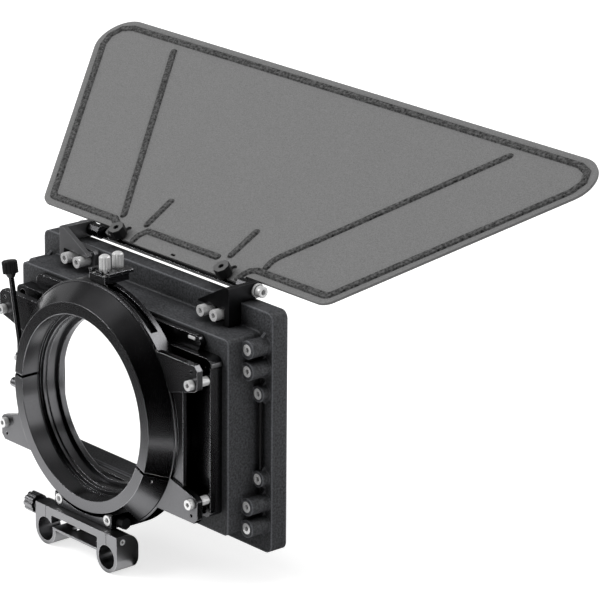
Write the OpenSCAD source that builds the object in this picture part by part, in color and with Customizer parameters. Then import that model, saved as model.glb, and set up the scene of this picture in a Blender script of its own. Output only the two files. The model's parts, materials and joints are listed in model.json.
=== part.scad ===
// Matte box for a film camera: hood with a hinged top flag, filter stage with a tray,
// lens clamp with a lever, and a bracket for two support rods.
// X runs to the operator's left, -Y runs forward to the scene, Z is up.
// The origin lies on the lens axis, at the rear face of the lens clamp.
// A "depth" is a distance forward of that face.

/* [Lens clamp] */
// Radius of the bore that grips the lens front
clamp_bore_r = 57.5; // [50:0.1:58]
// Outer radius of the flat rear rim
rim_r = 64.8; // [62:0.1:66]
// Outer radius of the drum
drum_r = 76; // [75:0.1:78]
// Depth at which the clamp ends and the drum begins
drum_rear = 12; // [11.6:0.1:12.4]
// Depth of the front face of the drum
drum_front = 23.7; // [23.5:0.1:24.5]
// Width of the slits between the fixed ring and the jaw
jaw_slit = 2; // [1:0.1:2.4]
// Clearance between rings and plates that lie face to face
face_gap = 0.3; // [0.2:0.05:0.5]
// Radial clearance of every turning fit
fit_gap = 0.05; // [0.03:0.01:0.08]

/* [Clamp lever] */
// Sideways place of the lever's pivot
lever_x = 66.3; // [66:0.1:67]
// Height of the lever's pivot
lever_z = 13.5; // [13:0.1:14]
// Lean of the lever from upright, in degrees
lever_lean = 11; // [8:1:20]
// Length from the pivot to the foot of the knob
lever_length = 49.3; // [46:0.1:54]
// Radius of the lever's rod
lever_rod_r = 1.7; // [1.2:0.1:2]
// Radius of the knurled lever knob
lever_knob_r = 4.85; // [4:0.05:5.5]
// Length of the lever knob
lever_knob_l = 10.5; // [8:0.5:12]

/* [Adapter arms] */
// Half width of the plate between the arms
arm_side_x = 80.5; // [79:0.1:82]
// Reach of the four arms from the middle
arm_reach_x = 95.4; // [94.5:0.1:96]
// Height of the outer edge of the arms
arm_top_z = 49; // [48:0.1:50]
// Thickness of the arms
arm_t = 4.3; // [4:0.1:5]
// Sideways place of the arm screws
arm_screw_x = 90.5; // [90:0.1:91]
// Height of the arm screws
arm_screw_z = 37; // [36:0.1:40]

/* [Filter stage] */
// Half width of the stage
stage_x = 93.3; // [92.5:0.1:94]
// Height of the stage's top edge
stage_top = 50.3; // [50:0.1:51]
// Height of the stage's bottom edge
stage_bottom = -48.5; // [-49:0.1:-48]
// Radius of the round opening in the stage's rear plate
stage_open_r = 51.7; // [50:0.1:53]
// Thickness of the stage's rear plate
stage_plate_t = 4; // [3:0.1:4]
// Filter width held by the tray
filter_w = 143.5; // [140:0.5:144]
// Filter height held by the tray
filter_h = 101.6; // [100:0.1:102]
// Width of the tray's frame beside the filter
tray_wall = 5.25; // [5:0.05:5.5]
// Top of the tray's bar
tray_top = 59.7; // [59:0.1:60]

/* [Hood] */
// Half width of the hood's body
body_x = 98.7; // [98:0.1:99]
// Top of the hood's body
body_top = 61.4; // [61:0.1:61.6]
// Bottom of the hood's body
body_bottom = -60.6; // [-62:0.1:-60]
// Depth of the hood's rear face
hood_rear = 32.64; // [32.6:0.01:32.7]
// Depth of the rear face of the front rim
rim_rear = 57.4; // [57.2:0.1:57.6]
// Depth of the hood's mouth
hood_front = 69.05; // [68.8:0.05:69.1]
// Half width of the front rim
rim_x = 109.2; // [108.5:0.1:110]
// Top of the front rim
rim_top = 75; // [74.8:0.1:75]
// Bottom of the front rim
rim_bottom = -75; // [-76:0.1:-74]
// Corner radius of the front rim
rim_corner = 5; // [4.5:0.5:9]
// Wall of the moulded hood
hood_wall = 3.4; // [3:0.1:4]
// Sideways place of the screw barrels
barrel_x = 102.5; // [102:0.1:103]
// Radius of the long screw barrels
barrel_r = 5.6; // [5:0.1:6]

/* [Top flag] */
// Tilt of the flag above level, in degrees
flag_tilt = 29.9; // [25:0.1:35]
// Half width of the flag at its rear edge
flag_rear_x = 134; // [130:1:138]
// Half width of the flag at its front edge
flag_front_x = 244.5; // [235:0.5:250]
// Distance from the hinge axis to the flag's rear edge
flag_rear_t = 6.5; // [6.3:0.1:8]
// Distance from the hinge axis to the flag's front edge
flag_front_t = 165.6; // [150:0.1:170]
// Thickness of the flag's sheet
flag_sheet = 1.6; // [1.4:0.1:1.8]
// Height of the beads and ribs above the sheet
bead_h = 1.2; // [0.8:0.1:1.6]
// Depth of the hinge axis
hinge_d = 69.4; // [69.4:0.1:70]
// Height of the hinge axis
hinge_z = 80.2; // [80.2:0.1:80.5]
// Sideways place of the flag knobs
knob_x = 50.2; // [48:0.1:52]
// Outer face of the bracket arms
bracket_x = 81; // [80.8:0.1:81.5]
// Thickness of the bracket arms
bracket_t = 4; // [3.5:0.1:4.2]

/* [Rod bracket] */
// Distance from the middle to each rod's axis
rod_x = 30; // [29.9:0.1:30.1]
// Height of the rod axes
rod_z = -85.3; // [-85.4:0.1:-85]
// Radius of the support rods' bores
rod_r = 7.5; // [7.5:0.01:7.55]
// Outer radius of the bracket's eyes
eye_r = 9.8; // [9.5:0.1:10.5]
// Depth of the bracket's rear face
bracket_rear = -4.5; // [-5:0.1:-4]
// Depth of the bracket's front face
bracket_front = 12.3; // [11.5:0.1:12.3]
// Top of the bracket
bracket_top = -70.2; // [-70.4:0.1:-70]

/* [Hidden] */
$fn = 64;
// Cuts run past a face by this much
cut = 1;

// Colours
black_anodised = [0.07, 0.07, 0.08];
satin_anodised = [0.20, 0.20, 0.21];
moulded_grey = [0.24, 0.25, 0.26];
flag_grey = [0.45, 0.45, 0.45];
bright_steel = [0.82, 0.82, 0.80];

// Ring and jaw: the jaw takes the lower arc, angles run from +X towards +Z
clamp_end = drum_rear - face_gap;
jaw_from = 202;
jaw_to = 364;
slit_angle = jaw_slit / rim_r * 180 / PI / 2;
jaw_pin_r = 2.2;
jaw_pin_angle = 206;
jaw_pin_reach = 66.8;
jaw_relief_r = 64.9;
lever_d = 6.6;
hub_rear = lever_d - 2.4;
hub_front = lever_d + 2.3;
draw_x = 68.4;
draw_d = 8.9;
draw_z = -6.6;
draw_head_r = 3;
hub_r = 3.4;
pivot_pin_r = 1.6;

// Screw heads
cap_r = 3.4;
cap_h = 3.6;
thread_r = 1.5;

// Stage and tray depths
plate_front = drum_front + stage_plate_t;
tray_rear = plate_front + face_gap;
tray_front = hood_rear - face_gap;
tray_bottom = -53.4;
tray_foot_lap = 1.15;
tray_foot_x = filter_w / 2 + tray_foot_lap;
tongue_bottom = -55.2;

// Barrels on each side of the hood: height, rear depth, radius
long_barrels = [[54.4, 43.7], [41.1, 43.7], [-43.4, 43.7], [-57.1, 43.7]];
short_barrels = [[25.4, 52], [-27.9, 52]];
side_rod_x = barrel_x - 0.5;
side_rod_d = rim_rear - 2.6;
short_barrel_r = 5;

// Flag brackets
bracket_rear_d = 47.8;
bracket_foot_d = 53;
gusset_t = 3.2;
bracket_top_z = 85.2;
bracket_tip_r = 4.95;
bracket_screw_x = [71.5, 59.5];
bracket_screw_z = 67.5;
pivot_r = 2;

// Flag
tongue_x = 64.8;
lug_l = 10.6;
tongue_t = 0.4;
slot_end_t = 9;
knob_t = 2.3;
knob_r = 5.3;

// Catcher on top of the drum
tray_x = filter_w / 2 + tray_wall;
catcher_x = 7.5;
catcher_rear = 13.7;
catcher_front = 32;
catcher_top = drum_r + 7;
catcher_pins = [19.7, 29.5];
catcher_well_z = drum_r + 3.5;
pin_foot_z = 81.5;
pin_shank_z = 78;

// Rod bracket and saddle
saddle_arc_r = 67.3;
saddle_x = 27.6;
saddle_screw_x = 23.6;
saddle_screw_z = -65.3;
pocket_screw_x = 12;

// Helpers
// Extrudes a front view outline from one depth to another
module forward(from, to)
    translate([0, -from, 0]) rotate([90, 0, 0]) linear_extrude(height = to - from) children();

// Extrudes a side view outline of depth and height from one X to another
module across(from, to)
    translate([to, 0, 0]) rotate([90, 0, -90]) linear_extrude(height = to - from) children();

// Turns a profile of radius and depth round the lens axis
module round_lens(from, angle)
    rotate([90, 0, 0]) rotate([0, 0, from]) rotate_extrude(angle = angle, $fn = 180) children();

module rod_forward(x, z, from, to, r)
    translate([x, -from, z]) rotate([90, 0, 0]) cylinder(h = to - from, r = r);

module rod_across(d, z, from, to, r)
    translate([from, -d, z]) rotate([0, 90, 0]) cylinder(h = to - from, r = r);

module rod_up(x, d, from, to, r)
    translate([x, -d, from]) cylinder(h = to - from, r = r);

// Outline between two corners with round corners
module round_box(low, high, r) {
    translate([low.x + r, low.y]) square([high.x - low.x - 2 * r, high.y - low.y]);
    translate([low.x, low.y + r]) square([high.x - low.x, high.y - low.y - 2 * r]);
    for (x = [low.x + r, high.x - r])
        for (y = [low.y + r, high.y - r])
            translate([x, y]) circle(r = r);
}

function unit(v) = v / norm(v);
function half_angle(p, a, b) = acos(unit(a - p) * unit(b - p)) / 2;
function arc_centre(p, a, b, r) = p + unit(unit(a - p) + unit(b - p)) * r / sin(half_angle(p, a, b));
function arc_start(p, a, b, r) = p + unit(a - p) * r / tan(half_angle(p, a, b));

// Convex outline with a round corner at each point
module round_outline(points, radii) {
    n = len(points);
    polygon([for (i = [0 : n - 1]) let (a = points[(i + n - 1) % n], b = points[(i + 1) % n])
        for (s = [0, 1]) s == 0 ? arc_start(points[i], a, b, radii[i])
            : arc_start(points[i], b, a, radii[i])]);
    for (i = [0 : n - 1])
        translate(arc_centre(points[i], points[(i + n - 1) % n], points[(i + 1) % n], radii[i]))
            circle(r = radii[i]);
}

// Width of a strip next to its round ends, which stand a little proud of it
strip_share = 0.97;

// Bar with round ends from one point to another
module stadium(a, b, r) {
    run = b - a;
    translate(a) circle(r = r);
    translate(b) circle(r = r);
    translate(a) rotate(atan2(run.y, run.x)) translate([0, -r * strip_share])
        square([norm(run), 2 * r * strip_share]);
}

// Point beside a path's corner i, at a distance r to its left
function beside(points, r, i) =
    let (last = len(points) - 1,
        into = unit(points[max(i, 1)] - points[max(i, 1) - 1]),
        out = unit(points[min(i, last - 1) + 1] - points[min(i, last - 1)]),
        across_corner = unit([-into.y - out.y, into.x + out.x]))
    points[i] + across_corner * r / (across_corner * [-into.y, into.x]);

// Strip along a path, with round ends
module bead_path(points, r) {
    last = len(points) - 1;
    side_r = r * strip_share;
    polygon(concat([for (i = [0 : last]) beside(points, side_r, i)],
        [for (i = [last : -1 : 0]) beside(points, -side_r, i)]));
    for (i = [0, last])
        translate(points[i]) circle(r = r);
}

// Cap screw along +Z: socket at the origin end, shank beyond the head
module cap_screw(head_r, head_h, shank_r, shank_l) {
    difference() {
        cylinder(h = head_h, r = head_r);
        translate([0, 0, -cut]) cylinder(h = cut + head_h * 0.55, r = head_r * 0.5, $fn = 6);
    }
    translate([0, 0, head_h]) cylinder(h = shank_l, r = shank_r);
}

module cap_screw_forward(x, z, from, head_r, head_h, shank_r, shank_l)
    translate([x, -from, z]) rotate([90, 0, 0]) cap_screw(head_r, head_h, shank_r, shank_l);

// Flag frame: X across, -Y away from the hinge along the sheet, Z out of its top face
module flag_frame() translate([0, -hinge_d, hinge_z]) rotate([-flag_tilt, 0, 0]) children();

// Hood
module barrel(z, rear, r, side) {
    x = side * barrel_x;
    rod_forward(x, z, rear, rim_rear + 1, r);
    // Ramp between the barrel and the rim
    for (s = [-1, 1])
        translate([x - 1, 0, z]) across(0, 2)
            polygon([[rim_rear + 0.5, s * (r + 2.5)], [rim_rear - 3, s * (r - 0.5)],
                [rim_rear - 3, 0], [rim_rear + 0.5, 0]]);
}

// Frustum between a rear and a front opening
module flare(rear, front, low_rear, high_rear, low_front, high_front)
    intersection() {
        across(-130, 130)
            polygon([[rear, low_rear.y], [rear, high_rear.y], [front, high_front.y],
                [front, low_front.y]]);
        translate([0, 0, -100]) linear_extrude(height = 200)
            polygon([[low_rear.x, -rear], [high_rear.x, -rear], [high_front.x, -front],
                [low_front.x, -front]]);
    }

module hood_shell() color(moulded_grey) {
    wall_front = hood_rear + hood_wall;
    step_front = rim_rear + hood_wall;
    pocket_rear = step_front + 3.2;
    window = [filter_w / 2 - 0.4, filter_h / 2 - 0.4];
    inner = [body_x - hood_wall, body_top - hood_wall];
    pocket = [rim_x - 4.2, rim_top - 4.2];
    inner_low = [-inner.x, body_bottom + hood_wall];
    pocket_low = [-pocket.x, rim_bottom + 4.2];
    difference() {
        union() {
            forward(hood_rear, rim_rear + 1)
                round_box([-body_x, body_bottom], [body_x, body_top], 3);
            forward(rim_rear, hood_front)
                round_box([-rim_x, rim_bottom], [rim_x, rim_top], rim_corner);
            for (side = [-1, 1]) {
                for (b = long_barrels)
                    barrel(b[0], b[1], barrel_r, side);
                for (b = short_barrels)
                    barrel(b[0], b[1], short_barrel_r, side);
            }
        }
        forward(hood_rear - cut, wall_front + cut)
            round_box(-window, window, 4);
        forward(wall_front, step_front + 0.01)
            round_box(inner_low, inner, 2);
        flare(step_front, pocket_rear, inner_low, inner, pocket_low, pocket);
        forward(pocket_rear - 0.01, hood_front + cut)
            round_box(pocket_low, pocket, rim_corner - 4.2);
        for (side = [-1, 1]) {
            for (b = long_barrels)
                screw_well(side * barrel_x, b[0], b[1]);
            for (b = short_barrels)
                screw_well(side * barrel_x, b[0], b[1]);
            rod_up(side * side_rod_x, side_rod_d, short_barrels[1][0], short_barrels[0][0], 0.85);
            for (x = bracket_screw_x)
                rod_forward(side * x, bracket_screw_z, rim_rear - cut, step_front - 0.4, thread_r);
        }
        for (x = [-1, 1])
            for (z = stage_screw_z)
                rod_forward(x * stage_screw_x, z, hood_rear - cut, wall_front - 0.4, thread_r);
    }
}

// Counterbore and thread of a barrel screw
module screw_well(x, z, rear) {
    rod_forward(x, z, rear - cut, rear + cap_h, cap_r + 0.15);
    rod_forward(x, z, rear, rim_rear + 2, thread_r);
}

module hood_barrel_screws() color(bright_steel)
    for (side = [-1, 1]) {
        for (b = long_barrels)
            cap_screw_forward(side * barrel_x, b[0], b[1], cap_r, cap_h, thread_r,
                rim_rear + 2 - b[1] - cap_h);
        for (b = short_barrels)
            cap_screw_forward(side * barrel_x, b[0], b[1], cap_r, cap_h, thread_r,
                rim_rear + 2 - b[1] - cap_h);
    }

module side_rods() color(bright_steel)
    for (side = [-1, 1])
        rod_up(side * side_rod_x, side_rod_d, short_barrels[1][0] + cap_r + 0.6,
            short_barrels[0][0] - cap_r - 0.6, 0.8);

// Flag brackets
module flag_bracket_half() {
    inner_x = bracket_x - bracket_t;
    difference() {
        union() {
            // Forward arm with a round tip about the hinge axis
            across(inner_x, bracket_x) {
                polygon([[bracket_rear_d, body_top + 0.4], [rim_rear - 0.02, body_top + 0.4],
                    [rim_rear - 0.02, hinge_z - bracket_tip_r],
                    [hinge_d, hinge_z - bracket_tip_r], [hinge_d, hinge_z + bracket_tip_r],
                    [bracket_rear_d, bracket_top_z]]);
                translate([hinge_d, hinge_z]) circle(r = bracket_tip_r);
            }
            // Gusset that slopes down to the inner end of the foot
            forward(bracket_rear_d, bracket_rear_d + gusset_t)
                polygon([[inner_x, bracket_top_z], [bracket_x, bracket_top_z],
                    [bracket_x, 72.4], [53, 71.2], [52.7, 72.3]]);
            forward(bracket_rear_d + 1, bracket_foot_d + 1)
                polygon([[bracket_x - 1, 71.9], [54, 71.5], [54.4, 73.4], [bracket_x - 1, 75]]);
            forward(bracket_foot_d, rim_rear - 0.02)
                polygon([[bracket_x, body_top + 0.4], [54, body_top + 0.4], [53, 63],
                    [52.7, 72.3], [54.2, 74.2], [bracket_x, 76]]);
        }
        for (x = bracket_screw_x)
            rod_forward(x, bracket_screw_z, bracket_foot_d - cut, rim_rear + cut, thread_r + 0.2);
        rod_across(hinge_d, hinge_z, inner_x - cut, bracket_x + cut, pivot_r + fit_gap);
    }
}

module flag_bracket_left() color(satin_anodised) flag_bracket_half();

module flag_bracket_right() color(satin_anodised) mirror([1, 0, 0]) flag_bracket_half();

module flag_bracket_screws() color(bright_steel)
    for (side = [-1, 1])
        for (x = bracket_screw_x)
            cap_screw_forward(side * x, bracket_screw_z, 43.8, 3.5, bracket_foot_d - 43.8,
                thread_r, rim_rear + hood_wall - 0.8 - bracket_foot_d);

// Hinge
bar_end_x = bracket_x - bracket_t - 0.5;

module hinge_bar() color(black_anodised)
    difference() {
        flag_frame() union() {
            translate([-bar_end_x, 0, 0]) rotate([90, 0, 90])
                linear_extrude(height = 2 * bar_end_x)
                    polygon([[1.7, -flag_sheet - 0.02], [-4.4, -flag_sheet - 0.02],
                        [-4.2, -2.4], [-2.7, -4], [1.7, -4]]);
            for (side = [-1, 1])
                translate([side * (bar_end_x - lug_l / 2), 0, 0]) rotate([0, 90, 0])
                    cylinder(h = lug_l, r = 4.3, center = true, $fn = 8);
        }
        for (side = [-1, 1]) {
            rod_across(hinge_d, hinge_z, side > 0 ? bar_end_x - 10 : -bar_end_x - cut,
                side > 0 ? bar_end_x + cut : -bar_end_x + 10, pivot_r + fit_gap);
            flag_frame() translate([side * knob_x, -knob_t, -4 - cut])
                cylinder(h = 4 + cut, r = thread_r + fit_gap);
        }
    }

module hinge_pivot_screws() color(bright_steel)
    for (side = [-1, 1])
        translate([side * (bracket_x + 6), -hinge_d, hinge_z]) rotate([0, -side * 90, 0])
            cap_screw(4, 4.2, pivot_r, 6 - 4.2 + bracket_t + 0.5 + 9.5);

module hinge_washers() color(bright_steel)
    for (side = [-1, 1])
        difference() {
            rod_across(hinge_d, hinge_z, side > 0 ? bracket_x : -bracket_x - 1.6,
                side > 0 ? bracket_x + 1.6 : -bracket_x, 4.4);
            rod_across(hinge_d, hinge_z, side > 0 ? bracket_x - cut : -bracket_x - 1.6 - cut,
                side > 0 ? bracket_x + 1.6 + cut : -bracket_x + cut, pivot_r + fit_gap);
        }

// Top flag
// Point of the flag's outline set in from the edges: side is -1 or 1, t from the hinge
function flag_edge_x(t) = flag_rear_x
    + (flag_front_x - flag_rear_x) * (t - flag_rear_t) / (flag_front_t - flag_rear_t);
bead_in = 6.5;
bead_r = 1.6;
bead_rear_t = flag_rear_t + bead_in;
flag_rear_r = 12;
flag_front_r = 19.5;

// Half of the bead that runs round inside the flag's edge
// Angle of the side edge's outward normal, and where a corner of radius r has its centre
flag_side_angle = atan2(flag_rear_x - flag_front_x, flag_front_t - flag_rear_t);
function flag_corner_x(t, r) = flag_edge_x(t) - r / cos(flag_side_angle);
function bead_arc(t, r, from, to) = [for (i = [0 : 3]) let (a = from + (to - from) * i / 3)
    [flag_corner_x(t, r) + (r - bead_in) * cos(a), t + (r - bead_in) * sin(a)]];
function half_bead(side) = [for (p = concat([[60.6, 3.2], [61.4, 7], [63.2, 10.4], [68, bead_rear_t]],
    bead_arc(flag_rear_t + flag_rear_r, flag_rear_r, -90, flag_side_angle),
    bead_arc(flag_front_t - flag_front_r, flag_front_r, flag_side_angle, 90)))
    [side * p.x, -p.y]];

module flag_outline() {
    round_outline([[-flag_rear_x, -flag_rear_t], [flag_rear_x, -flag_rear_t],
        [flag_front_x, -flag_front_t], [-flag_front_x, -flag_front_t]],
        [flag_rear_r, flag_rear_r, flag_front_r, flag_front_r]);
    round_box([-tongue_x, -20], [tongue_x, -tongue_t], 2.5);
}

module top_flag() color(flag_grey)
    flag_frame() difference() {
        union() {
            translate([0, 0, -flag_sheet]) linear_extrude(height = flag_sheet) flag_outline();
            translate([0, 0, -0.2]) linear_extrude(height = bead_h + 0.2) {
                bead_path(concat(half_bead(-1), [for (i = [11 : -1 : 0]) half_bead(1)[i]]), bead_r);
                stadium([156.5, -150], [64, -17.7], bead_r);
                // The other long rib ends in a hook
                bead_path([[-156.5, -150], [-86, -45], [-74, -28], [-71.8, -23], [-71.8, -17.5]], bead_r);
                for (side = [-1, 1])
                    stadium([side * 40.6, -38.6], [side * 40, -16.9], bead_r);
                bead_path([[38, -2.6], [38, -7], [34.5, -12.4], [-31.5, -12.4]], bead_r);
            }
        }
        for (side = [-1, 1])
            translate([0, 0, -flag_sheet - cut]) linear_extrude(height = flag_sheet + 3 * cut)
                stadium([side * knob_x, 5], [side * knob_x, -slot_end_t], 2.3);
        translate([0, 0, -flag_sheet - cut]) linear_extrude(height = flag_sheet + 2 * cut)
            stadium([-1.2, -2.7], [1.2, -2.7], 0.8);
    }

module flag_knob(side) color(black_anodised)
    flag_frame() translate([side * knob_x, -knob_t, 0]) difference() {
        union() {
            translate([0, 0, 0.02]) cylinder(h = 1.2, r = 3.6);
            translate([0, 0, 1.2]) rotate([0, 0, 22.5]) cylinder(h = 6.4, r = knob_r, $fn = 8);
            translate([0, 0, -3]) cylinder(h = 4.1, r = thread_r);
        }
        translate([0, 0, 7.6 - 1.6]) cylinder(h = 1.6 + cut, r = 1.6, $fn = 6);
    }

module flag_knob_left() flag_knob(1);

module flag_knob_right() flag_knob(-1);

// Filter stage
stage_screw_x = 87;
stage_screw_z = [-44, 45];

module filter_stage() color(black_anodised)
    difference() {
        union() {
            forward(drum_front, hood_rear)
                round_box([-stage_x, stage_bottom], [stage_x, stage_top], 4);
            forward(drum_front, plate_front) circle(r = stage_open_r + 5, $fn = 180);
            forward(drum_front + 2, hood_rear)
                round_box([-tray_foot_x - 1.8, tongue_bottom], [tray_foot_x + 1.8, 0], 2);
        }
        forward(drum_front - cut, hood_rear + cut) circle(r = stage_open_r, $fn = 180);
        // Slot for the tray, open at the top
        forward(plate_front, hood_rear + cut) {
            translate([-tray_x - 0.4, stage_bottom + 1.5]) square([2 * tray_x + 0.8, 120]);
            translate([-tray_foot_x - 0.4, tray_bottom - 0.4]) square([2 * tray_foot_x + 0.8, 60]);
        }
        for (x = [-1, 1]) {
            for (z = stage_screw_z)
                rod_forward(x * stage_screw_x, z, plate_front - cut, hood_rear + cut,
                    thread_r + 0.2);
            for (z = [-1, 1])
                rod_forward(x * arm_screw_x, z * arm_screw_z, drum_front - cut,
                    hood_rear - 2, thread_r);
            for (z = stage_screw_z)
                rod_forward(x * stage_screw_x, z, drum_front - cut, plate_front, 2.9);
        }
    }

module stage_screws() color(black_anodised)
    for (x = [-1, 1])
        for (z = stage_screw_z)
            cap_screw_forward(x * stage_screw_x, z, plate_front - 2.5, 2.7, 2.5, thread_r,
                hood_rear + hood_wall - 0.5 - plate_front);

module tray_stop_tab() color(bright_steel)
    forward(drum_front, hood_rear - 1)
        round_box([-stage_x - 1.3, 45], [-stage_x - 0.02, 48], 0.5);

// Filter tray
module filter_tray() color(black_anodised)
    forward(tray_rear, tray_front) difference() {
        union() {
            translate([-tray_x, stage_bottom + 2]) square([2 * tray_x, 52 - stage_bottom]);
            translate([-tray_foot_x, tray_bottom]) square([2 * tray_foot_x, 20]);
            round_box([-tray_x - 2, tray_top - 9], [tray_x + 2, tray_top], 4.4);
        }
        round_box([-filter_w / 2, -filter_h / 2], [filter_w / 2, filter_h / 2], 2);
    }

module tray_clip() color(bright_steel)
    forward(tray_rear - 0.8, tray_rear - 0.02)
        round_box([2 - tray_x, tray_top - 3.1], [8.5 - tray_x, tray_top - 1.1], 0.8);

// Lens adapter: drum and four arms in one piece
module arm_outline()
    for (x = [-1, 1])
        for (z = [-1, 1])
            scale_side(x, z)
                polygon([[60, 24], [arm_side_x - 0.5, 29.5], [arm_reach_x - 2, 33],
                    [arm_reach_x, 35], [arm_reach_x, arm_top_z - 3], [arm_reach_x - 3, arm_top_z],
                    [50, arm_top_z], [50, 24]]);

module scale_side(x, z)
    mirror([x < 0 ? 1 : 0, 0]) mirror([0, z < 0 ? 1 : 0]) children();

module lens_adapter() color(black_anodised)
    difference() {
        union() {
            round_lens(0, 360)
                polygon([[54, drum_front], [54, 16.5], [54.8, 16.5], [54.8, 14],
                    [clamp_bore_r, 14], [clamp_bore_r, drum_rear], [drum_r - 0.8, drum_rear],
                    [drum_r, drum_rear + 0.8], [drum_r, drum_front - 0.8],
                    [drum_r - 0.8, drum_front]]);
            difference() {
                union() {
                    forward(drum_rear, drum_rear + arm_t) arm_outline();
                    forward(drum_rear + 1.6, drum_rear + arm_t)
                        translate([-arm_side_x, -30]) square([2 * arm_side_x, 60]);
                }
                forward(drum_rear - cut, drum_rear + arm_t + cut)
                    circle(r = drum_r - 4, $fn = 180);
            }
        }
        // Channel over the upper right of the drum
        round_lens(93, 38)
            polygon([[73, 14.5], [73, 19.5], [drum_r + 2, 19.5], [drum_r + 2, 14.5]]);
        for (x = [-1, 1])
            for (z = [-1, 1]) {
                rod_forward(x * arm_screw_x, z * arm_screw_z, drum_rear - cut,
                    drum_rear + arm_t + cut, thread_r + 0.2);
                rod_forward(x * 90, z * 44.6, drum_rear - cut, drum_rear + arm_t + cut, 1);
            }
        // Screws from the drum's front hold the fixed ring
        for (a = ring_screw_angles) {
            rod_forward(ring_screw_reach * cos(a), ring_screw_reach * sin(a), drum_rear - cut,
                drum_front, thread_r + 0.1);
            rod_forward(ring_screw_reach * cos(a), ring_screw_reach * sin(a),
                drum_front - 3.5, drum_front + cut, 2.9);
        }
        for (x = [-1, 1])
            rod_forward(x * saddle_screw_x, saddle_screw_z, drum_rear - cut, 18.3, thread_r);
        rod_forward(jaw_pin_x, jaw_pin_z, drum_rear - cut, 17, jaw_pin_r);
        for (x = [-1, 1])
            rod_up(x * 4.8, 16.5, 70, 80, 1.2);
    }

module arm_screws() color(bright_steel)
    for (x = [-1, 1])
        for (z = [-1, 1])
            cap_screw_forward(x * arm_screw_x, z * arm_screw_z, 10.8 - 2.2, 3.1, 3.4, thread_r,
                hood_rear - 2.5 - drum_rear);

module standoff_sleeves() color(bright_steel)
    for (x = [-1, 1])
        for (z = [-1, 1])
            difference() {
                rod_forward(x * arm_screw_x, z * arm_screw_z, drum_rear + arm_t + 0.02,
                    drum_front - 0.02, 2.8);
                rod_forward(x * arm_screw_x, z * arm_screw_z, drum_rear, drum_front + cut,
                    thread_r + 0.1);
            }

// Lens clamp
ring_screw_angles = [40, 90, 140];
ring_screw_reach = 61.2;
jaw_pin_x = jaw_pin_reach * cos(jaw_pin_angle);
jaw_pin_z = jaw_pin_reach * sin(jaw_pin_angle);

module clamp_profile(end)
    polygon([[clamp_bore_r, 0], [rim_r, 0], [rim_r + 0.4, 0.4], [drum_r - 1.2, end],
        [clamp_bore_r, end]]);

module clamp_ring() color(black_anodised)
    difference() {
        union() {
            round_lens(jaw_to - 360 + slit_angle, jaw_from - jaw_to + 360 - 2 * slit_angle)
                clamp_profile(drum_rear - 0.02);
        }
        // Room for the hub of the lever and for the draw bolt
        forward(hub_rear - face_gap, hub_front + face_gap) {
            translate([lever_x, lever_z]) circle(r = hub_r + 0.35);
            translate([lever_x, lever_z]) rotate(-lever_lean) translate([-2.7, 0]) square(30);
            translate([lever_x, lever_z - 7]) square([20, 14]);
        }
        forward(draw_d - 2.9, draw_d + 2.5) translate([draw_x - 3, 2]) square([12, 11]);
        rod_forward(lever_x, lever_z, 1.5, 30, pivot_pin_r);
        for (a = ring_screw_angles)
            rod_forward(ring_screw_reach * cos(a), ring_screw_reach * sin(a), 5, 30, thread_r);
    }

module clamp_ring_screws() color(black_anodised)
    for (a = ring_screw_angles)
        translate([ring_screw_reach * cos(a), 0.4 - drum_front, ring_screw_reach * sin(a)])
            rotate([-90, 0, 0]) cap_screw(2.7, 3, thread_r, drum_front - 0.4 - 3 - 5.4);

module clamp_jaw() color(black_anodised)
    difference() {
        union() {
            difference() {
                round_lens(jaw_from + slit_angle, jaw_to - jaw_from - 2 * slit_angle)
                    clamp_profile(clamp_end);
                // Relief over the saddle
                intersection() {
                    round_lens(228, 77)
                        polygon([[jaw_relief_r, -cut], [drum_r + 4, -cut], [drum_r + 4, 14],
                            [jaw_relief_r, 14]]);
                    forward(-cut, 14) translate([-40.5, -90]) square([70.5, 60]);
                }
            }
            // Lug that takes the draw bolt
            forward(draw_d - 2.7, drum_rear - face_gap) difference() {
                round_box([62, draw_z - 4.6], [draw_x + 4.2, 2.2], 2);
                circle(r = clamp_bore_r + 1);
            }
        }
        rod_forward(jaw_pin_x, jaw_pin_z, 4.6, 30, jaw_pin_r + fit_gap);
        rod_up(draw_x, draw_d, -12, 6, 1.6);
        rod_across(draw_d, draw_z, draw_x - 5, draw_x + 8, 2.2);
        rod_across(draw_d, draw_z, draw_x + 4.2, draw_x + 12, draw_head_r + face_gap);
    }

module jaw_hinge_pin() color(bright_steel)
    rod_forward(jaw_pin_x, jaw_pin_z, 5, 16.8, jaw_pin_r);

// Lever
module lever_line() translate([lever_x, -lever_d, lever_z]) rotate([0, lever_lean, 0]) children();

module clamp_lever() color(black_anodised)
    difference() {
        union() {
            rod_forward(lever_x, lever_z, hub_rear, hub_front, hub_r);
            lever_line() translate([0, 0, 3]) cylinder(h = 4.4, r1 = 2.2, r2 = 1.9);
            lever_line() cylinder(h = lever_length + 5, r = lever_rod_r);
        }
        rod_forward(lever_x, lever_z, 0, drum_rear, pivot_pin_r + fit_gap);
    }

module lever_knob() color(satin_anodised)
    lever_line() translate([0, 0, lever_length]) difference() {
        union() {
            cylinder(h = 2.6, r1 = 2.2, r2 = 3.4);
            translate([0, 0, 2.6]) cylinder(h = lever_knob_l - 3.4, r = lever_knob_r);
            translate([0, 0, lever_knob_l - 0.8]) cylinder(h = 0.8, r1 = lever_knob_r, r2 = 4.1);
        }
        translate([0, 0, -cut]) cylinder(h = cut + 5.2, r = lever_rod_r + 0.02);
        for (a = [0 : 30 : 330])
            rotate([0, 0, a]) translate([lever_knob_r + 0.4, 0, 2.6]) cylinder(h = 20, r = 0.8);
    }

module lever_pivot_pin() color(bright_steel) {
    rod_forward(lever_x, lever_z, 1.5, drum_rear - 0.4, pivot_pin_r);
}

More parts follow.
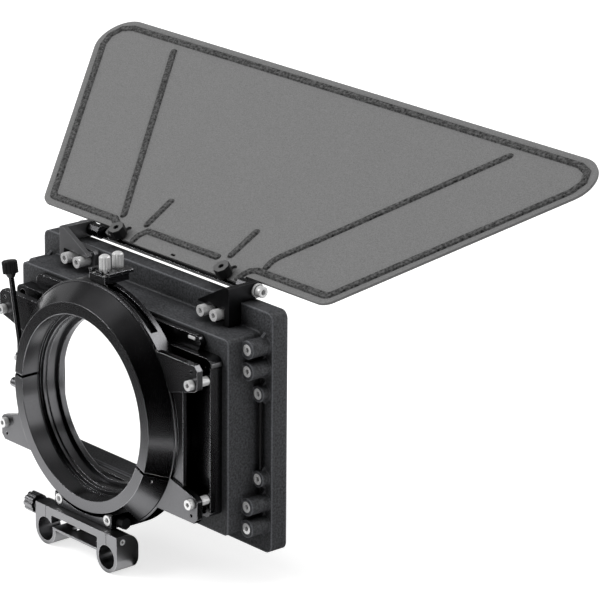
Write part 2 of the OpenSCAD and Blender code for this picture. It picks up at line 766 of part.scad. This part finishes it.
module draw_bolt() color(bright_steel) {
    rod_up(draw_x, draw_d, -10, 9.2, 1.55);
    rod_up(draw_x, draw_d, 7.4, 9.4, 2.2);
}

module draw_bolt_pin() color(satin_anodised)
    difference() {
        union() {
            rod_across(draw_d, draw_z, draw_x - 4, draw_x + 5, 2.15);
            rod_across(draw_d, draw_z, draw_x + 4.5, draw_x + 9.6, draw_head_r);
        }
        rod_up(draw_x, draw_d, -12, 6, 1.55);
    }

// Tray catcher
module catcher_block() color(black_anodised)
    difference() {
        union() {
            translate([-catcher_x, -catcher_front, drum_r + 0.1])
                cube([2 * catcher_x, catcher_front - catcher_rear, catcher_top - drum_r - 2.1]);
            // Two rims side by side
            for (d = catcher_pins)
                translate([-catcher_x - 2, -d - 4.6, catcher_top - 2])
                    cube([2 * catcher_x + 4, 9.2, 2]);
        }
        for (d = catcher_pins) {
            rod_up(0, d, catcher_well_z, catcher_top + cut, 3.95);
            rod_up(0, d, drum_r - 6, catcher_top + cut, 1.85 + fit_gap);
        }
        for (x = [-1, 1]) {
            rod_up(x * 4.8, 16.5, drum_r - 6, catcher_top + cut, 1.35);
            rod_up(x * 4.8, 16.5, catcher_top - 4, catcher_top + cut, 2.3);
        }
    }

module catcher_screws() color(bright_steel)
    for (x = [-1, 1])
        translate([x * 4.8, -16.5, catcher_top - 2.4]) rotate([180, 0, 0]) cap_screw(2.1, 1.6, 1.15, 6);

module catcher_pin(d) color(bright_steel)
    translate([0, -d, 0]) {
        difference() {
            union() {
                translate([0, 0, pin_foot_z]) cylinder(h = 9.4, r = 3.5);
                translate([0, 0, pin_foot_z + 9.4]) intersection() {
                    translate([0, 0, -2.7]) sphere(r = 4.42);
                    cylinder(h = 5, r = 3.5);
                }
            }
            for (a = [0 : 30 : 330])
                rotate([0, 0, a]) translate([3.85, 0, pin_foot_z + 1.5]) cylinder(h = 20, r = 0.7);
        }
        translate([0, 0, pin_shank_z]) cylinder(h = pin_foot_z - pin_shank_z + 0.1, r = 1.85);
    }

module catcher_pin_rear() catcher_pin(catcher_pins[0]);

module catcher_pin_front() catcher_pin(catcher_pins[1]);

// Short spring of three turns under a pin's head
module catcher_spring(d) color(bright_steel)
    for (i = [0 : 2])
        translate([0, -d, catcher_well_z + 0.35 + i * 0.62]) rotate_extrude(angle = 360)
            translate([2.9, 0]) circle(r = 0.28);

module catcher_spring_rear() catcher_spring(catcher_pins[0]);

module catcher_spring_front() catcher_spring(catcher_pins[1]);

// Saddle between the drum and the rod bracket
module saddle() color(black_anodised)
    difference() {
        forward(1.2, drum_rear - 0.02) difference() {
            round_box([-saddle_x, bracket_top + 0.02], [saddle_x, -58.5], 1);
            circle(r = saddle_arc_r, $fn = 180);
        }
        for (x = [-1, 1]) {
            rod_forward(x * saddle_screw_x, saddle_screw_z, 0, 30, thread_r + 0.2);
            rod_forward(x * saddle_screw_x, saddle_screw_z, 0, 0.9 + cap_h, cap_r + 0.3);
            rod_up(x * pocket_screw_x, 5, -80, -68.4, thread_r);
        }
        rod_across(8, -66.2, -saddle_x - cut, -25.4, 1.4 + fit_gap);
    }

module saddle_screws() color(bright_steel)
    for (x = [-1, 1])
        cap_screw_forward(x * saddle_screw_x, saddle_screw_z, 0.9, cap_r, cap_h, thread_r, 13.2);

module height_knob() color(satin_anodised) {
    rod_across(8, -66.2, -saddle_x - 0.4, -25.8, 1.4);
    translate([-saddle_x - 0.4, -8, -66.2]) rotate([0, -90, 0]) {
        cylinder(h = 2, r = 3.6);
        translate([0, 0, 2]) cylinder(h = 3.6, r = 3.7, $fn = 8);
    }
}

// Rod bracket
module rod_bracket() color(satin_anodised)
    difference() {
        intersection() {
            forward(bracket_rear, bracket_front) {
                translate([-rod_x - eye_r, -83.8]) square([2 * (rod_x + eye_r), bracket_top + 83.8]);
                for (x = [-1, 1]) {
                    translate([x * rod_x, rod_z]) circle(r = eye_r);
                    translate([x > 0 ? rod_x : -rod_x - eye_r, rod_z])
                        square([eye_r, bracket_top - rod_z]);
                }
            }
            // Side view with a round upper front edge
            across(-60, 60) union() {
                translate([bracket_rear - cut, -100]) square([cut + 3 - bracket_rear, 100 + bracket_top]);
                translate([bracket_rear - cut, -100]) square([bracket_front - bracket_rear + cut, 20]);
                translate([bracket_front - 9.4, bracket_top - 9.4]) circle(r = 9.4);
            }
        }
        for (x = [-1, 1]) {
            rod_forward(x * rod_x, rod_z, bracket_rear - cut, bracket_front + cut, rod_r);
            // Slit that lets the eye close on the rod
            translate([x * 29.7 - 0.3, -bracket_front - cut, rod_z + 3])
                cube([0.6, bracket_front - bracket_rear + 2 * cut, 20]);
            rod_up(x * pocket_screw_x, 5, -80, -60, thread_r + 0.2);
            rod_up(x * pocket_screw_x, 5, -84, -75.4, 3);
        }
        // Pocket in the rear face
        forward(bracket_rear - cut, 7) round_box([-21, -82.4], [24.3, -75], 1);
        rod_across(0.2, -74.1, 20, 60, 1.9 + fit_gap);
        rod_across(0.2, -74.1, -60, -22, 1.1);
        rod_across(0.2, -74.1, -60, -38.2, 1.9);
    }

module bracket_screws() color(bright_steel)
    for (x = [-1, 1])
        translate([x * pocket_screw_x, -5, -78.4]) cap_screw(2.7, 2.9, thread_r, 6.6);

module rod_clamp_knob() color(satin_anodised)
    translate([39.8 + face_gap, -0.2, -74.1]) rotate([0, 90, 0]) {
        translate([0, 0, -18.6]) cylinder(h = 18.8, r = 1.9);
        cylinder(h = 2, r = 3.6);
        difference() {
            translate([0, 0, 2]) cylinder(h = 8, r = 6.3);
            for (a = [0 : 36 : 324])
                rotate([0, 0, a]) translate([6.9, 0, 1]) cylinder(h = 20, r = 1.2);
        }
    }

module rod_clamp_screw() color(bright_steel)
    translate([-39.8, 0, 0]) translate([0, -0.2, -74.1]) rotate([0, 90, 0]) {
        difference() {
            cylinder(h = 1.6, r = 1.85);
            translate([0, 0, -cut]) cylinder(h = cut + 0.9, r = 0.9, $fn = 6);
        }
        translate([0, 0, 1.6]) cylinder(h = 15, r = 1.05);
    }

hood_shell();
hood_barrel_screws();
side_rods();
flag_bracket_left();
flag_bracket_right();
flag_bracket_screws();
hinge_bar();
hinge_pivot_screws();
hinge_washers();
top_flag();
flag_knob_left();
flag_knob_right();
filter_stage();
stage_screws();
tray_stop_tab();
filter_tray();
tray_clip();
lens_adapter();
arm_screws();
standoff_sleeves();
clamp_ring();
clamp_ring_screws();
clamp_jaw();
jaw_hinge_pin();
clamp_lever();
lever_knob();
lever_pivot_pin();
draw_bolt();
draw_bolt_pin();
catcher_block();
catcher_screws();
catcher_pin_rear();
catcher_pin_front();
catcher_spring_rear();
catcher_spring_front();
saddle();
saddle_screws();
rod_bracket();
bracket_screws();
rod_clamp_knob();
rod_clamp_screw();
height_knob();
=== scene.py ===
# %% [markdown]
# # A matte box on a white table
# A matte box keeps stray light off a film lens. Its solids arrive here as a fixed frame of named
# bodies, and nothing in that frame is moved. This notebook gives them rounded edges and real
# finishes, adds a few small plates, and builds the set. Each piece made here rides on one of the
# frame's bodies, so the joints carry it along by themselves.

# %% Load the frame
import json
import math
import bmesh
import bpy
from mathutils import Matrix, Quaternion, Vector


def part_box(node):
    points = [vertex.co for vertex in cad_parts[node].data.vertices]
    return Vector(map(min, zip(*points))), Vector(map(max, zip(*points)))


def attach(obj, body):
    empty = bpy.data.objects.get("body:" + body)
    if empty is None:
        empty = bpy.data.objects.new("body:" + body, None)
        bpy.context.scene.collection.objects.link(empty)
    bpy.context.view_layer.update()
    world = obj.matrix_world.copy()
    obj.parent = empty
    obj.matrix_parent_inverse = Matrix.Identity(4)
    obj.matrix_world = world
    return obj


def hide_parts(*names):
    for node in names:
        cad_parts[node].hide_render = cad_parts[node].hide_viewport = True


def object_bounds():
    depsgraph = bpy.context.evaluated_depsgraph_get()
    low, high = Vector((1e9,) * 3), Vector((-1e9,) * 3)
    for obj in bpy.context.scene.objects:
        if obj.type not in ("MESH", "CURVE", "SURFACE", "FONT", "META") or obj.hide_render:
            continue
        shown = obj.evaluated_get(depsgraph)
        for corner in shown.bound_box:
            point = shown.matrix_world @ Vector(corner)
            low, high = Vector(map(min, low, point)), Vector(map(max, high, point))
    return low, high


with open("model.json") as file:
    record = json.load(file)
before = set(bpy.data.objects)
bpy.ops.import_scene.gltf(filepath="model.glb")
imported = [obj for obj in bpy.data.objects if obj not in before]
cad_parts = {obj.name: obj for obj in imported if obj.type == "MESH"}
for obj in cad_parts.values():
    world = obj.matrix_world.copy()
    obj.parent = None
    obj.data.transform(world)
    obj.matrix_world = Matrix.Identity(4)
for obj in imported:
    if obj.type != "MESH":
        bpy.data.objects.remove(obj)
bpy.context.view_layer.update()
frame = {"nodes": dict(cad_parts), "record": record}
MM = 0.001
nodes = frame["nodes"]
bodies = frame["record"]["behaviour"]["bodies"]
body_of = {node: body for body, names in bodies.items() for node in names}
slot_of = {part["node"]: part["material_slot"] for part in frame["record"]["subparts"]}
print("bodies:", len(bodies), "nodes:", len(nodes))

# %% [markdown]
# The picture is taken from behind the box, on the operator's right and a little above, with a
# long lens. A camera could be aimed by eye, but then sizes would be off by a few millimetres.
# Yaw, pitch, roll and distance were solved instead, from the rod bores and the clamp's bore.

# %% Camera
camera_yaw = math.radians(228.938)
camera_pitch = math.radians(18.383)
camera_roll = math.radians(-0.49)
camera_distance = 2233.064 * MM
camera_aim = Vector((-70.313, -112.274, 62.392)) * MM
camera_lens_mm = 224.26

forward = Vector((-math.sin(camera_yaw) * math.cos(camera_pitch),
                  math.cos(camera_yaw) * math.cos(camera_pitch), -math.sin(camera_pitch)))
right = forward.cross(Vector((0, 0, 1))).normalized()
up = right.cross(forward)
turn = Matrix.Rotation(camera_roll, 3, forward)
axes = Matrix((turn @ right, turn @ up, -forward)).transposed()
camera_data = bpy.data.cameras.new("camera")
camera_data.lens = camera_lens_mm
camera_data.sensor_width = 36
camera_data.clip_end = 50
camera = bpy.data.objects.new("camera", camera_data)
camera_place = camera_aim - forward * camera_distance
camera.matrix_world = Matrix.Translation(camera_place) @ axes.to_4x4()
bpy.context.scene.collection.objects.link(camera)
bpy.context.scene.camera = camera
print("camera at", [round(c, 3) for c in camera_place])


# %% [markdown]
# A material is a tree of nodes. Colours are written as they look on a screen, so one function
# turns a hex code into linear light. A second one starts an empty tree, and a third adds a node
# with its settings and links in one line. An underscore in a setting stands for a space.

# %% Helpers for materials
def linear(code):
    values = [int(code[i:i + 2], 16) / 255 for i in (1, 3, 5)]
    return [v / 12.92 if v <= 0.04045 else ((v + 0.055) / 1.055) ** 2.4 for v in values] + [1]


def material(name):
    made = bpy.data.materials.new(name)
    made.use_nodes = True
    made.node_tree.nodes.clear()
    return made, made.node_tree


def add(tree, kind, links=None, **settings):
    node = tree.nodes.new(kind)
    for name, value in settings.items():
        if hasattr(node, name):
            setattr(node, name, value)
        else:
            node.inputs[name.replace("_", " ")].default_value = value
    for name, source in (links or {}).items():
        tree.links.new(source, node.inputs[name])
    return node


# %% [markdown]
# All the finishes of the box share one build, with numbers of their own. A fine noise gives the
# grain and its tone, and a broad one makes the sheen uneven, as handling does. Edges get a
# painted
# highlight: a Bevel node bends the normal near an edge, so the angle between it and the true
# normal is a mask that lightens the colour there. Ambient occlusion paints shade into sockets
# and gaps, where light hardly gets in. Painting such masks by hand would work too, but these
# follow the shape when it changes.

# %% One build for every finish
def grained(name, colour, spread, rough, metallic, grain_mm, depth_mm, edge_highlight_gain, edge_mm,
            painted_shade_mm, painted_shade_strength=0.9):
    made, tree = material(name)
    place = add(tree, "ShaderNodeTexCoord").outputs["Object"]
    grain = add(tree, "ShaderNodeTexNoise", {"Vector": place}, Scale=1 / (grain_mm * MM),
                Detail=3.0)
    soil = add(tree, "ShaderNodeTexNoise", {"Vector": place}, Scale=40.0, Detail=4.0)
    tone = add(tree, "ShaderNodeMapRange", {"Value": grain.outputs["Fac"]}, From_Min=0.3,
               From_Max=0.7, To_Min=1 - spread, To_Max=1 + spread)

    # Painted edge highlight: the mask is 0 where both normals agree and 1 where they part by
    # 30 degrees, and it lightens the colour along the edge.
    soft = add(tree, "ShaderNodeBevel", samples=6, Radius=edge_mm * MM)
    flat = add(tree, "ShaderNodeNewGeometry")
    bend = add(tree, "ShaderNodeVectorMath",
               {0: soft.outputs[0], 1: flat.outputs["Normal"]}, operation="DOT_PRODUCT")
    edge_highlight = add(tree, "ShaderNodeMapRange", {"Value": bend.outputs["Value"]}, From_Min=0.99,
                 From_Max=0.85)
    tone_and_highlight = add(tree, "ShaderNodeMath",
               {0: edge_highlight.outputs["Result"], 2: tone.outputs["Result"]},
               operation="MULTIPLY_ADD")
    tone_and_highlight.inputs[1].default_value = edge_highlight_gain

    # Painted shade in nooks: the share of open sky around a point scales its colour.
    nook = add(tree, "ShaderNodeAmbientOcclusion", samples=6, Distance=painted_shade_mm * MM)
    shade = add(tree, "ShaderNodeMapRange", {"Value": nook.outputs["AO"]}, From_Min=0.25,
                From_Max=0.95, To_Min=1 - painted_shade_strength)
    whole = add(tree, "ShaderNodeMath", {0: tone_and_highlight.outputs[0], 1: shade.outputs["Result"]},
                operation="MULTIPLY")
    base = add(tree, "ShaderNodeVectorMath", {"Scale": whole.outputs[0]}, operation="SCALE")
    base.inputs[0].default_value = linear(colour)[:3]

    sheen = add(tree, "ShaderNodeMapRange", {"Value": soil.outputs["Fac"]}, From_Min=0.3,
                From_Max=0.7, To_Min=rough * 0.88, To_Max=rough * 1.12)
    bump = add(tree, "ShaderNodeBump",
               {"Height": grain.outputs["Fac"], "Normal": soft.outputs[0]},
               Strength=1.0, Distance=depth_mm * MM)
    shader = add(tree, "ShaderNodeBsdfPrincipled",
                 {"Base Color": base.outputs[0], "Roughness": sheen.outputs["Result"],
                  "Normal": bump.outputs[0]}, Metallic=metallic)
    add(tree, "ShaderNodeOutputMaterial", {"Surface": shader.outputs[0]})
    return made


# %% [markdown]
# The hood and the flag are moulded. Their grain is a quarter of a millimetre on the real box,
# too fine for a picture of this size, so it is drawn several times as coarse. The flag's
# beads get a rougher finish of their own, darker than its sheet as painted shade for their
# sloped flanks, and so do the small turned or moulded knobs.

# %% Moulded finishes
# ABS from a spark-eroded mould: dull, with a speckle, a wide band of painted highlight along
# its edges, and painted shade in its nooks.
moulded_abs = grained("moulded_abs", "#434447", spread=0.6, rough=0.6, metallic=0, grain_mm=1.3,
                      depth_mm=0.25, edge_highlight_gain=2.6, edge_mm=2.0, painted_shade_mm=12)
# Sheet pressed between textured plates: an even mid grey with hardly any sheen.
moulded_sheet = grained("moulded_sheet", "#7d7d7d", spread=0.2, rough=0.7, metallic=0,
                        grain_mm=0.8, depth_mm=0.15, edge_highlight_gain=0.2, edge_mm=0.5, painted_shade_mm=4,
                        painted_shade_strength=0.6)
# The same sheet where it is pushed up into a bead: coarse and blotchy, and darker as painted
# shade for the bead's sloped flanks.
welt_painted_shade = grained("welt_painted_shade", "#4a4a4a", spread=1.0, rough=0.7, metallic=0,
                       grain_mm=1.6, depth_mm=0.3, edge_highlight_gain=0.1, edge_mm=0.5, painted_shade_mm=3,
                       painted_shade_strength=0.8)
# Plastic knobs, and the thin rods beside the barrels: black, smooth and only half glossy.
moulded_knob = grained("black_moulded_knob", "#161617", spread=0.15, rough=0.45, metallic=0,
                       grain_mm=0.5, depth_mm=0.02, edge_highlight_gain=2, edge_mm=0.4, painted_shade_mm=3)
# A plain pale grey: painted light from above on the flag knobs' upward faces, and the bar pads'
# colour.
pale_grey_face = grained("pale_grey_knob_face", "#6a6a6a", spread=0.1, rough=0.4, metallic=0,
                      grain_mm=0.4, depth_mm=0.01, edge_highlight_gain=0.3, edge_mm=0.3, painted_shade_mm=1.2,
                      painted_shade_strength=0.97)
print("moulded hood colour in linear light:", [round(c, 3) for c in linear("#434447")[:3]])

# %% [markdown]
# The metal is anodised aluminium with polished steel screws. Anodising dyes the surface black
# and leaves it smooth, so what the eye sees is mostly what it mirrors: the dark cards of the
# set. The left flag bracket is painted paler as painted light, the right one darker as painted
# shade. A screw this small would mirror its surroundings in streaks that the picture can't hold,
# so steel is made partly non-metallic, and stays bright from every side.

# %% Metal finishes
# Machined, blasted lightly and dyed black: deep and glossy, with painted highlights along the
# edges and painted shade in its nooks.
black_anodised = grained("black_anodised_aluminium", "#707072", spread=0.06, rough=0.24,
                         metallic=1, grain_mm=0.3, depth_mm=0.0006, edge_highlight_gain=2.8, edge_mm=0.6,
                         painted_shade_mm=20)
# The same metal undyed: silver with a soft sheen.
satin_anodised = grained("satin_anodised_aluminium", "#8e8e90", spread=0.06, rough=0.3,
                         metallic=1, grain_mm=0.3, depth_mm=0.001, edge_highlight_gain=1.5, edge_mm=0.5,
                         painted_shade_mm=5)
# Polished stainless steel: nearly white, with painted shade darkening its sockets.
stainless_steel = grained("stainless_steel", "#ffffff", spread=0.04, rough=0.3, metallic=0.4,
                          grain_mm=0.3, depth_mm=0.001, edge_highlight_gain=0.2, edge_mm=0.25,
                          painted_shade_mm=1.5, painted_shade_strength=0.97)
# The left bracket, painted light: the black metal made grey and dull where light falls on it.
bracket_painted_light = grained("anodised_bracket_painted_light", "#7a7a7c", spread=0.1, rough=0.35,
                       metallic=0.6, grain_mm=0.3, depth_mm=0.002, edge_highlight_gain=1, edge_mm=0.4,
                       painted_shade_mm=6)
# Its twin on the right, painted shade: the same metal kept dark.
bracket_painted_shade = grained("anodised_bracket_painted_shade", "#2e2e30", spread=0.1, rough=0.35,
                       metallic=0.9, grain_mm=0.3, depth_mm=0.002, edge_highlight_gain=1.5, edge_mm=0.4,
                       painted_shade_mm=6)
finishes = {"moulded_hood": moulded_abs, "moulded_flag": moulded_sheet,
            "black_anodised": black_anodised, "satin_anodised": satin_anodised,
            "bright_steel": stainless_steel}
special = {"flag_bracket_left": bracket_painted_light, "flag_bracket_right": bracket_painted_shade,
           "tray_stop_tab": satin_anodised}
for node in ("flag_knob_left", "flag_knob_right", "lever_knob", "height_knob", "side_rods"):
    special[node] = moulded_knob
print("finishes:", len(bpy.data.materials), "nodes with one of their own:", len(special))


# %% [markdown]
# Machined and moulded edges are never knife sharp, and a solid from CAD is. Each solid is
# copied as a mesh, its split flat areas are joined, and every edge gets a small round of two
# segments. A Bevel modifier could do this, but doing it on the mesh lets a piece change its
# shape first. Weighted normals then keep the flat faces flat beside their rounds.

# %% Rounded copies of the solids
def is_edge(edge, angle):
    return len(edge.link_faces) == 2 and edge.calc_face_angle(0) > math.radians(angle)


def rounded(node, width, shape=None, segments=2, angle=32):
    bm = bmesh.new()
    bm.from_mesh(nodes[node].data)
    bmesh.ops.remove_doubles(bm, verts=bm.verts, dist=0.002 * MM)
    bmesh.ops.dissolve_limit(bm, angle_limit=math.radians(0.6), verts=bm.verts, edges=bm.edges)
    if shape:
        shape(bm)
    sharp = [edge for edge in bm.edges if is_edge(edge, angle)]
    bmesh.ops.bevel(bm, geom=sharp, offset=width * MM, segments=segments, profile=0.5,
                    affect="EDGES", clamp_overlap=True)
    for face in bm.faces:
        face.smooth = True
    mesh = bpy.data.meshes.new("looks_" + node)
    bm.to_mesh(mesh)
    bm.free()
    piece = bpy.data.objects.new("looks_" + node, mesh)
    bpy.context.scene.collection.objects.link(piece)
    weigh = piece.modifiers.new("weigh", "WEIGHTED_NORMAL")
    weigh.weight = 100
    weigh.keep_sharp = True
    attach(piece, body_of[node])
    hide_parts(node)
    piece.data.materials.append(special.get(node, finishes[slot_of[node]]))
    return piece


# %% [markdown]
# The flag is easiest to work on in a frame of its own: the origin on the hinge's axis, the
# sheet flat, and z away from it. Its beads are pressed up from the sheet, so their flanks
# slope. The solid has them upright, and here the foot of each flank is pushed outwards.

# %% The flag's beads
hinge_y, hinge_z, flag_lean = -69.4, 80.2, -29.9
bead_height, bead_foot, near = 1.2, 1.0, 0.05
flag_frame = (Matrix.Translation(Vector((0, hinge_y, hinge_z)) * MM)
              @ Matrix.Rotation(math.radians(flag_lean), 4, "X"))
to_flag = flag_frame.inverted()


def welts(bm):
    height = {vert: (to_flag @ vert.co).z / MM for vert in bm.verts}
    bead = [face for face in bm.faces
            if all(-near < height[vert] < bead_height + near for vert in face.verts)
            and any(height[vert] > 1 for vert in face.verts)]
    sheet_up = flag_frame.to_3x3() @ Vector((0, 0, 1))
    push = {}
    for face in bead:
        # Bead faces take the darker finish: painted shade for their flanks.
        face.material_index = 1
        out = face.normal - sheet_up * face.normal.dot(sheet_up)
        for vert in face.verts:
            if abs(height[vert]) < near and out.length > 0.5:
                push[vert] = push.get(vert, Vector()) + out
    for vert, out in push.items():
        vert.co += out.normalized() * bead_foot * MM
    print("bead faces:", len(bead), "points at their feet:", len(push))


# %% [markdown]
# Two more solids change a little. The heads of the hinge's pivot screws shrink about the axis
# to their true size, and the flag knobs get a second, pale grey finish on their upward faces, as
# painted light from above. The rest of the box only gets its rounds: wide on the moulded hood,
# and narrow on machined metal.

# %% Dress every solid
head_share = 0.87


def smaller_heads(bm):
    for vert in bm.verts:
        vert.co.y = (hinge_y + (vert.co.y / MM - hinge_y) * head_share) * MM
        vert.co.z = (hinge_z + (vert.co.z / MM - hinge_z) * head_share) * MM


def knob_top(bm):
    for face in bm.faces:
        height = (to_flag @ face.calc_center_median()).z
        if height > 5 * MM and (to_flag.to_3x3() @ face.normal).z > 0.6:
            # Upward faces get the pale grey: painted light from above on the black knob.
            face.material_index = 1


shapes = {"top_flag": (welts, welt_painted_shade), "hinge_pivot_screws": (smaller_heads, None),
          "flag_knob_left": (knob_top, pale_grey_face), "flag_knob_right": (knob_top, pale_grey_face)}
edge_round = {"moulded_hood": 1.6, "moulded_flag": 0.5}
metal_round = 0.35
for name in nodes:
    shape, second = shapes.get(name, (None, None))
    piece = rounded(name, edge_round.get(slot_of[name], metal_round), shape)
    if second:
        piece.data.materials.append(second)
print("rounded copies:", len(nodes))


# %% [markdown]
# The small plates are built from rows. A row runs straight across the plate, at a distance
# forward, from one x to another, with its underside at a height of its own; all are given in
# millimetres. Faces join each row to the next, the sharp edges are rounded, and a frame puts
# the plate in place. A box and a boolean could cut the same notches, but rows leave only the
# faces that the shape needs.

# %% A plate from its rows
def plate(name, rows, top, finish, body, place=flag_frame):
    bm = bmesh.new()
    rings = [[bm.verts.new((x * MM, -t * MM, z * MM))
              for x, z in ((start, top), (stop, top), (stop, under), (start, under))]
             for t, start, stop, under in rows]
    bm.faces.new(rings[0])
    bm.faces.new(rings[-1])
    for this, following in zip(rings, rings[1:]):
        for k in range(4):
            after = (k + 1) % 4
            bm.faces.new((this[k], this[after], following[after], following[k]))
    bmesh.ops.recalc_face_normals(bm, faces=bm.faces)
    sharp = [edge for edge in bm.edges if is_edge(edge, 10)]
    bmesh.ops.bevel(bm, geom=sharp, offset=0.4 * MM, segments=2, profile=0.5, affect="EDGES",
                    clamp_overlap=True)
    mesh = bpy.data.meshes.new(name)
    bm.transform(place)
    bm.to_mesh(mesh)
    bm.free()
    mesh.materials.append(finish)
    piece = bpy.data.objects.new(name, mesh)
    bpy.context.scene.collection.objects.link(piece)
    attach(piece, body)


# %% [markdown]
# Under the flag the hinge bar carries a pad behind each slot, which the knob's stud clamps, and
# a wing at each end. Folded down, the flag would press them into the hood's rim, so each has a
# notch across it just where the rim arrives. Under the tray's top bar a thin black sheet closes
# the gap between bar and frame, as painted shade where the white set would show through.

# %% Pads, wings and the gap's shade sheet
bar_under, pad_under, wing_under = -1.65, -2.8, -3.8
rim_at, notch_roof = 4.8, -1.95
knob_x, pad_half, pad_tip = 50.2, 4.5, 2
wing_x = 54.7
bar_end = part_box("hinge_bar")[1][0] / MM
for side, word in ((1, "left"), (-1, "right")):
    across = side * (knob_x - pad_half), side * (knob_x + pad_half)
    tip = side * (knob_x - pad_tip), side * (knob_x + pad_tip)
    pad = [(2, *across, pad_under), (4.1, *across, pad_under), (rim_at, *across, notch_roof),
           (7.4, *across, pad_under), (11, *across, pad_under), (13.5, *tip, pad_under)]
    plate("bar_pad_" + word, pad, bar_under, pale_grey_face, "flag")
    across = side * wing_x, side * bar_end
    wing = [(1, *across, wing_under), (3.3, *across, wing_under), (rim_at, *across, notch_roof),
            (10, *across, wing_under)]
    plate("bar_wing_" + word, wing, bar_under, moulded_knob, "flag")

# A black sheet under the tray's top bar: painted shade for the gap between bar and frame.
shade_sheet_half = 70.5
shade_sheet = [(-52, -shade_sheet_half, shade_sheet_half, 28.2), (-43, -shade_sheet_half, shade_sheet_half, 28.2)]
upright = Matrix.Rotation(math.radians(90), 4, "X")
plate("tray_gap_shade_sheet", shade_sheet, 29.4, moulded_knob, "tray", upright)
print("bar end at", round(bar_end, 1), "mm, baffle", 2 * shade_sheet_half, "mm wide")

# %% [markdown]
# The set is a sheet of white paper under an even white sky. Both have to stay white in the
# picture without lighting the box more, so they glow only for rays that start at the lens or
# come off a gloss. The paper's own diffuse colour keeps the soft shadow.

# %% Floor and world
floor_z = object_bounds()[0][2] - 0.2 * MM


def sheet_object(name, size, place, facing=(0, 0, 1), spin=0):
    bm = bmesh.new()
    bmesh.ops.create_grid(bm, x_segments=8, y_segments=8, size=0.5)
    bmesh.ops.scale(bm, vec=(size[0], size[1], 1), verts=bm.verts)
    mesh = bpy.data.meshes.new(name)
    bm.to_mesh(mesh)
    bm.free()
    piece = bpy.data.objects.new(name, mesh)
    facing_turn = Vector(facing).to_track_quat("Z", "Y")
    spun = facing_turn @ Quaternion((0, 0, 1), math.radians(spin))
    piece.rotation_euler = spun.to_euler()
    piece.location = place
    bpy.context.scene.collection.objects.link(piece)
    return piece


def seen_by_lens(tree):
    path = add(tree, "ShaderNodeLightPath").outputs
    first = add(tree, "ShaderNodeMath", {0: path["Is Camera Ray"], 1: path["Is Glossy Ray"]},
                operation="MAXIMUM")
    last = add(tree, "ShaderNodeMath", {0: first.outputs[0], 1: path["Is Transmission Ray"]},
               operation="MAXIMUM")
    return last.outputs[0]


floor = sheet_object("floor", (12, 12), (0, 0, floor_z))
paper, tree = material("white_paper")
matt = add(tree, "ShaderNodeBsdfDiffuse", Color=linear("#e6e6e6"))
glow = add(tree, "ShaderNodeEmission", {"Strength": seen_by_lens(tree)},
           Color=(0.7, 0.7, 0.7, 1))
both = add(tree, "ShaderNodeAddShader", {0: matt.outputs[0], 1: glow.outputs[0]})
add(tree, "ShaderNodeOutputMaterial", {"Surface": both.outputs[0]})
floor.data.materials.append(paper)

world = bpy.data.worlds.new("studio")
bpy.context.scene.world = world
world.use_nodes = True
tree = world.node_tree
tree.nodes.clear()
level = add(tree, "ShaderNodeMapRange", {"Value": seen_by_lens(tree)}, To_Min=0.45, To_Max=1)
sky = add(tree, "ShaderNodeBackground", {"Strength": level.outputs[0]}, Color=(1, 1, 1, 1))
add(tree, "ShaderNodeOutputWorld", {"Surface": sky.outputs[0]})
print("floor at", round(floor_z / MM, 1), "mm")


# %% [markdown]
# In a white room black metal would look white, since it mirrors the room. A product
# photographer stands black cards just outside the picture, and a pale one where a face should
# light up. The same is done here. The cards show in reflections only, so they neither hide
# anything nor darken the box. Those that lie on the floor stop the lower faces from mirroring
# the paper, and each was placed by following the mirror direction of one face.

# %% Cards for the reflections
def card(name, size, place, facing, level, spin=0):
    made, tree = material(name)
    glow = add(tree, "ShaderNodeEmission", Color=(level, level, level, 1), Strength=1.0)
    add(tree, "ShaderNodeOutputMaterial", {"Surface": glow.outputs[0]})
    piece = sheet_object(name, size, place, facing, spin)
    piece.data.materials.append(made)
    piece.visible_camera = False
    piece.visible_diffuse = False
    piece.visible_shadow = False


low, mid, high = floor_z + 2 * MM, floor_z + 3 * MM, floor_z + 4 * MM
face_up, face_down = (0, 0, 1), (0, 0, -1)
card("card_floor", (1.9, 1.6), (0.85, 0.935, low), face_up, 0.09)
card("card_under", (0.14, 0.09), (-0.045, -0.055, mid), face_up, 0.0)
card("card_under_rear", (0.13, 0.13), (-0.13, 0.055, mid), face_up, 0.0)
card("card_floor_right", (0.75, 0.42), (-0.6, 0.05, low), face_up, 0.0)
card("card_strip", (0.65, 0.13), (-0.375, -0.275, high), face_up, 0.0, 41.2)
card("card_floor_rear", (2.3, 2.8), (-1.45, 1.6, low), face_up, 0.0)
card("card_top_glow", (0.9, 0.9), (-0.65, -1.35, 1.38), face_down, 3.5)
card("card_front_left", (2.4, 1.6), (2.15, -1.87, 0.75), (-0.7156, 0.6234, 0), 0.2)
card("card_top", (6, 6), (0.4, 1.0, 1.4), face_down, 0.0)
card("card_left", (3.8, 1.5), (2.6, 1.1, 0.65), (-1, 0, 0), 0.35)
card("card_back", (6, 1.6), (0, 3.0, 0.65), (0, -1, 0), 0.0)
card("card_right", (4, 1.6), (-2.6, 1.0, 0.65), (1, 0, 0), 0.0)


# %% [markdown]
# Two large softboxes light the box: the key from behind the operator's left shoulder, and one
# overhead that draws the shadow under it. Large lamps give the soft edges of studio light.

# %% Lamps
def softbox(name, place, target, size, power):
    light = bpy.data.lights.new(name, "AREA")
    light.shape = "RECTANGLE"
    light.size, light.size_y = size
    light.energy = power
    lamp = bpy.data.objects.new(name, light)
    lamp.location = place
    lamp.rotation_euler = (Vector(target) - Vector(place)).to_track_quat("-Z", "Y").to_euler()
    bpy.context.scene.collection.objects.link(lamp)


softbox("key_softbox", (1.2, 1.4, 1.5), (0, 0, 0), (1.4, 1.0), 22)
softbox("top_softbox", (0, -0.3, 2.2), (0, 0, 0), (1.8, 1.8), 16)
bpy.context.scene.view_settings.view_transform = "Standard"
print("lamps:", [light.name for light in bpy.data.lights])
